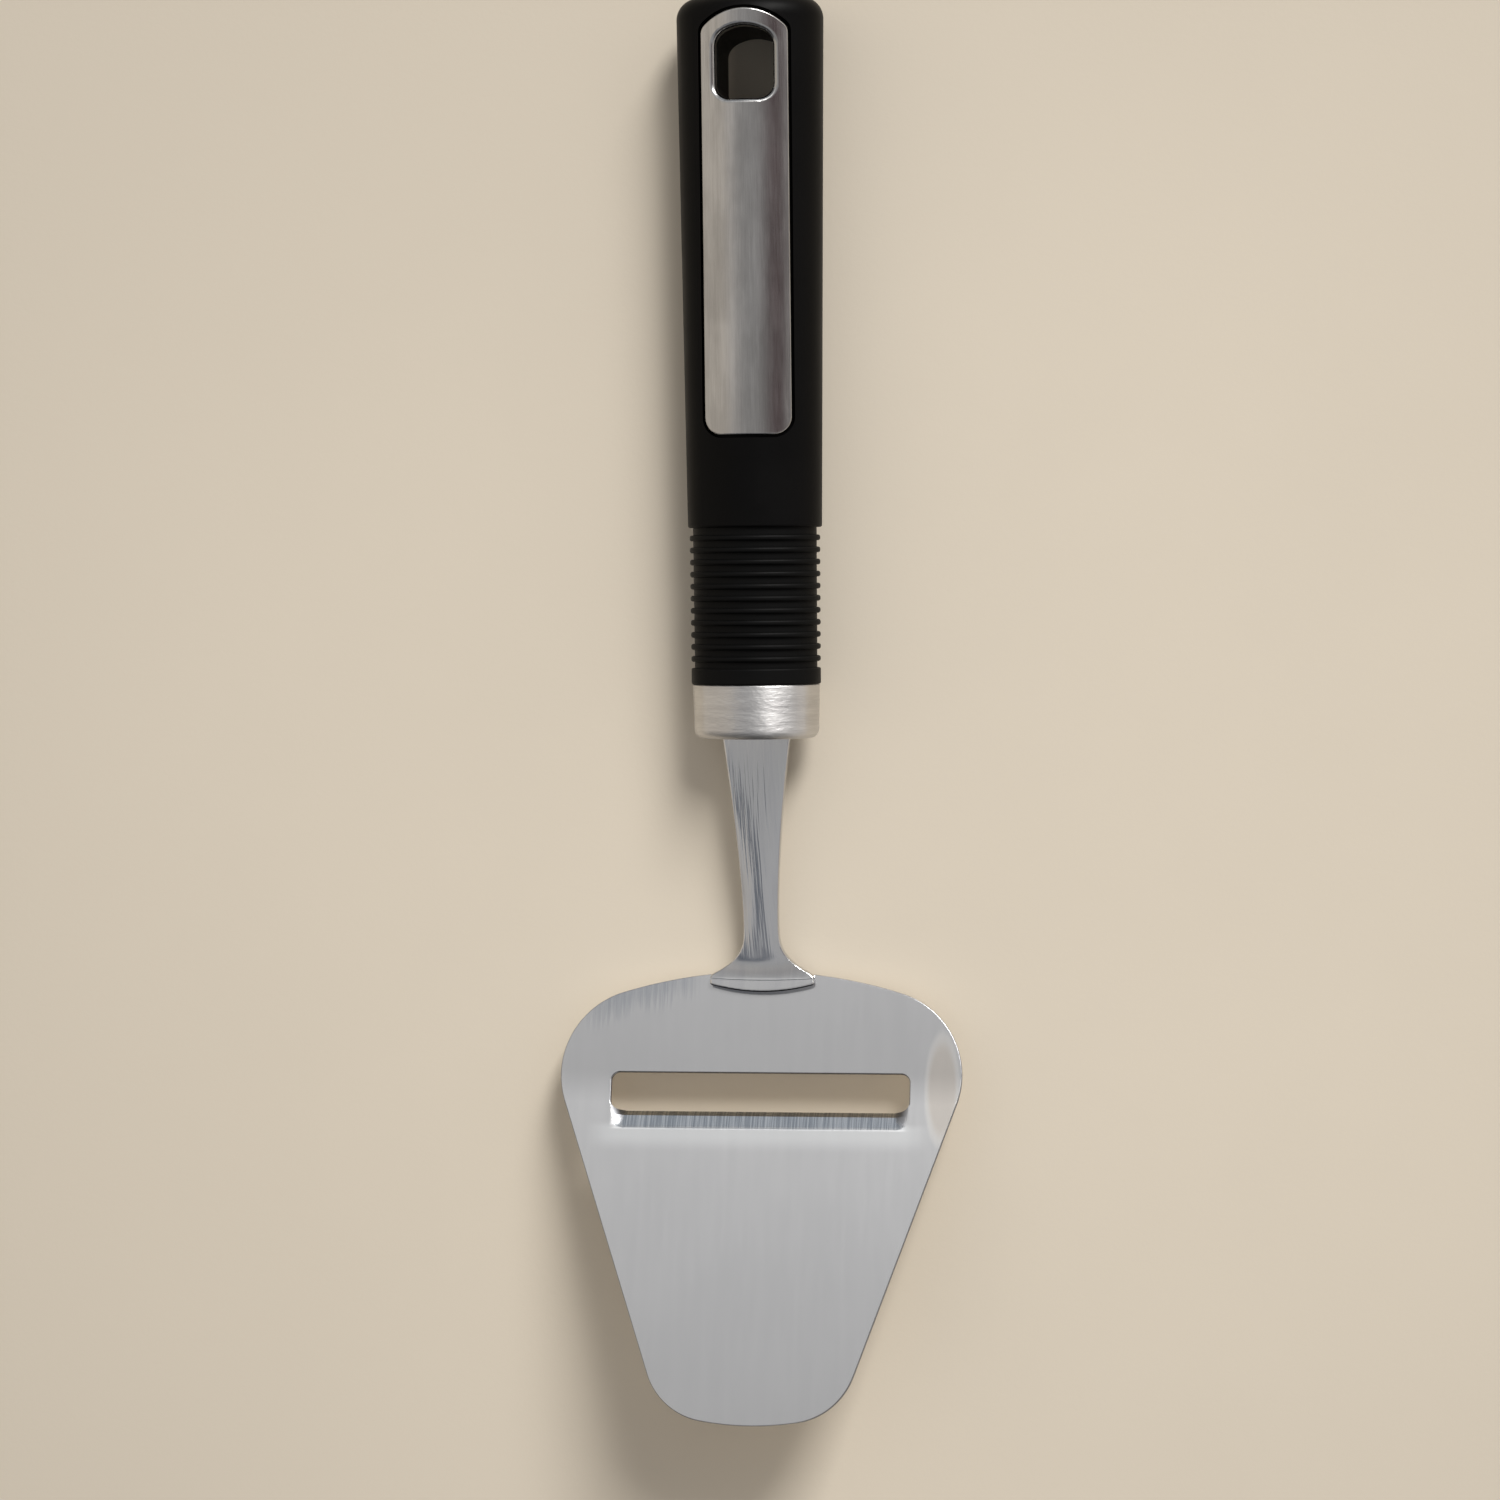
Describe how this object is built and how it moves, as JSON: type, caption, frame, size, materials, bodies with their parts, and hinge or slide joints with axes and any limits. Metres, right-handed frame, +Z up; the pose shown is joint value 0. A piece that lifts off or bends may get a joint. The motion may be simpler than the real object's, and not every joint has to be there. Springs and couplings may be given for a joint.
{
  "type": "cheese slicer",
  "caption": "Hand cheese slicer: tapered steel blade with a slot and pressed cutting lip, welded shank, ferrule and ribbed black handle with an inlaid steel plate and hanging hole.",
  "frame": {"origin": "on the handle's flat back, in the middle plane, half way between the ferrule's mouth and the butt", "axes": "+Z up from the flat back it lies on, +Y along the handle towards the hanging hole, -Y towards the blade's tip, +X to the right seen from above"},
  "size_m": [0.07, 0.2414, 0.0286],
  "materials": {
    "blade_steel": "fine lengthwise brushing",
    "shank_steel": "fine lengthwise brushing",
    "ferrule_steel": "brushed round the ferrule",
    "inlay_steel": "lengthwise brushing, bright rim",
    "black_plastic": "satin, finely spark-textured",
    "core_plastic": "as moulded",
    "black_rubber": "soft satin",
    "pad_adhesive": "translucent foam tape",
    "resin": "cured amber resin"
  },
  "bodies": {
    "root": {"blade": "blade_steel", "shank": "shank_steel", "ferrule": "ferrule_steel", "inlay_plate": "inlay_steel", "handle_shell": "black_plastic", "handle_core": "core_plastic", "ribbed_sleeve": "black_rubber", "inlay_adhesive": "pad_adhesive", "tang_adhesive": "resin"}
  },
  "joints": []
}
